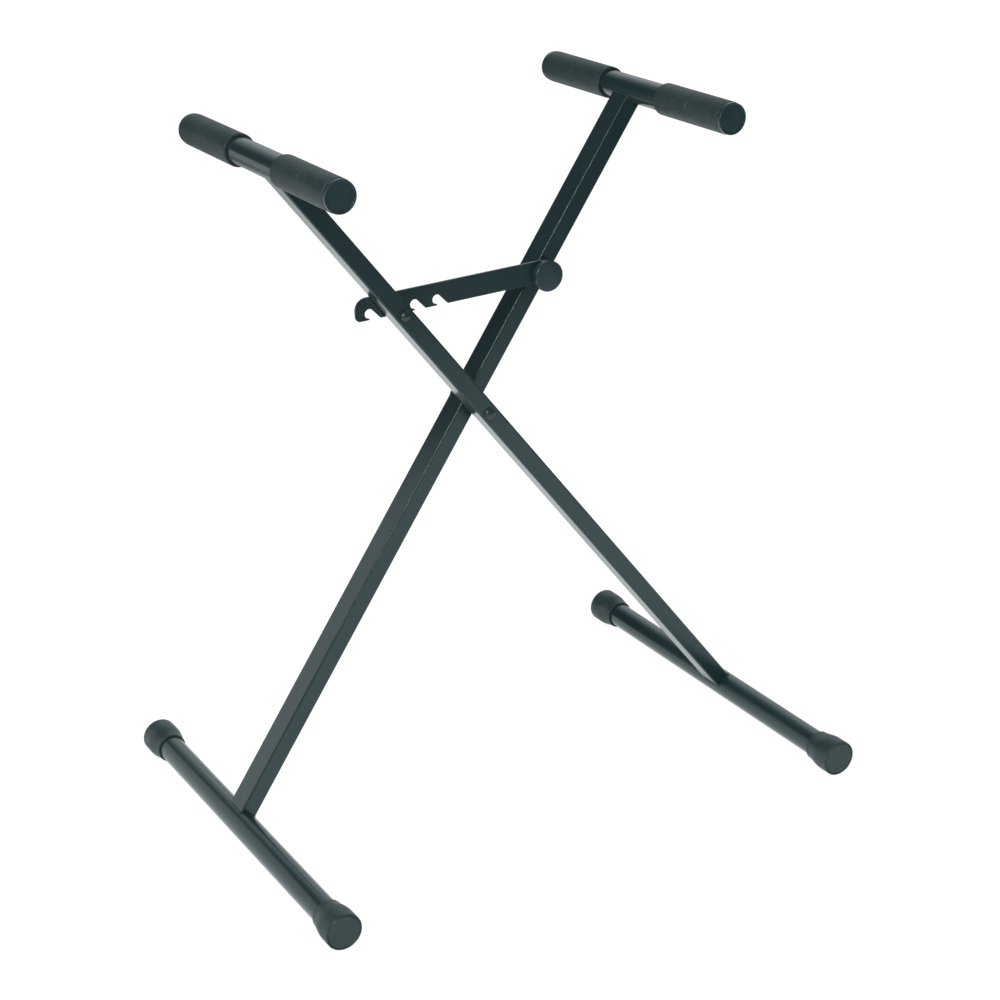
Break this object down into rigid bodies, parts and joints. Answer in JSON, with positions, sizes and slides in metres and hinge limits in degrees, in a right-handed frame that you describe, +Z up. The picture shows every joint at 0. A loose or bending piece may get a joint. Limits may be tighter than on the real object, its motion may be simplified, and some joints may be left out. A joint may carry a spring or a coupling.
{
  "type": "folding x-frame keyboard stand",
  "caption": "Folding X-frame keyboard stand: crossed rectangular legs, round foot and arm tubes with rubber caps and sleeves, locked open by a notched hook bar.",
  "frame": {"origin": "on the floor, midway between the feet and midway along them", "axes": "+X across the opened legs, towards the front leg's foot; +Y along the feet and arms, away from the front leg's side; +Z up"},
  "size_m": [0.6804, 0.512, 0.7893],
  "materials": {
    "paint": "smooth semi-gloss black paint",
    "cap_rubber": "satin moulded rubber",
    "sleeve_rubber": "matte rubber with fine ring lines",
    "plug_plastic": "matte moulded plastic",
    "washer_plastic": "plain",
    "bolt_steel": "dark plated"
  },
  "bodies": {
    "front_frame": {"front_leg": "paint", "front_foot_tube": "paint", "front_arm_tube": "paint", "front_foot_cap_near": "cap_rubber", "front_foot_cap_far": "cap_rubber", "front_arm_sleeve_near": "sleeve_rubber", "front_arm_sleeve_far": "sleeve_rubber", "front_arm_plug_near": "plug_plastic", "front_arm_plug_far": "plug_plastic", "pivot_bolt": "bolt_steel", "pivot_spacer": "bolt_steel", "pivot_washer_front": "washer_plastic", "pivot_washer_rear": "washer_plastic", "pivot_nut_washer": "bolt_steel", "pivot_nut": "bolt_steel", "catch_pin": "bolt_steel", "catch_pin_washer": "bolt_steel", "catch_pin_clip": "bolt_steel"},
    "rear_frame": {"rear_leg": "paint", "rear_foot_tube": "paint", "rear_arm_tube": "paint", "rear_foot_cap_near": "cap_rubber", "rear_foot_cap_far": "cap_rubber", "rear_arm_sleeve_near": "sleeve_rubber", "rear_arm_sleeve_far": "sleeve_rubber", "rear_arm_plug_near": "plug_plastic", "rear_arm_plug_far": "plug_plastic", "hook_pivot_bolt": "bolt_steel", "hook_pivot_washer": "bolt_steel", "hook_pivot_spacer": "bolt_steel", "hook_knob": "plug_plastic"},
    "hook_bar": {"hook_bar": "paint"}
  },
  "joints": [
    {"name": "leg_fold", "type": "hinge", "parent": "front_frame", "child": "rear_frame", "pos_m": [0, 0, 0.45638], "axis": [0, -1, 0], "range_deg": [0, 62]},
    {"name": "hook_lift", "type": "hinge", "parent": "rear_frame", "child": "hook_bar", "pos_m": [0.0968, -0.003, 0.5884], "axis": [0, 1, 0], "range_deg": [0, 78]}
  ],
  "couplings": [
    {"joint": "hook_lift", "follows": "leg_fold", "ratio": 1.2}
  ]
}
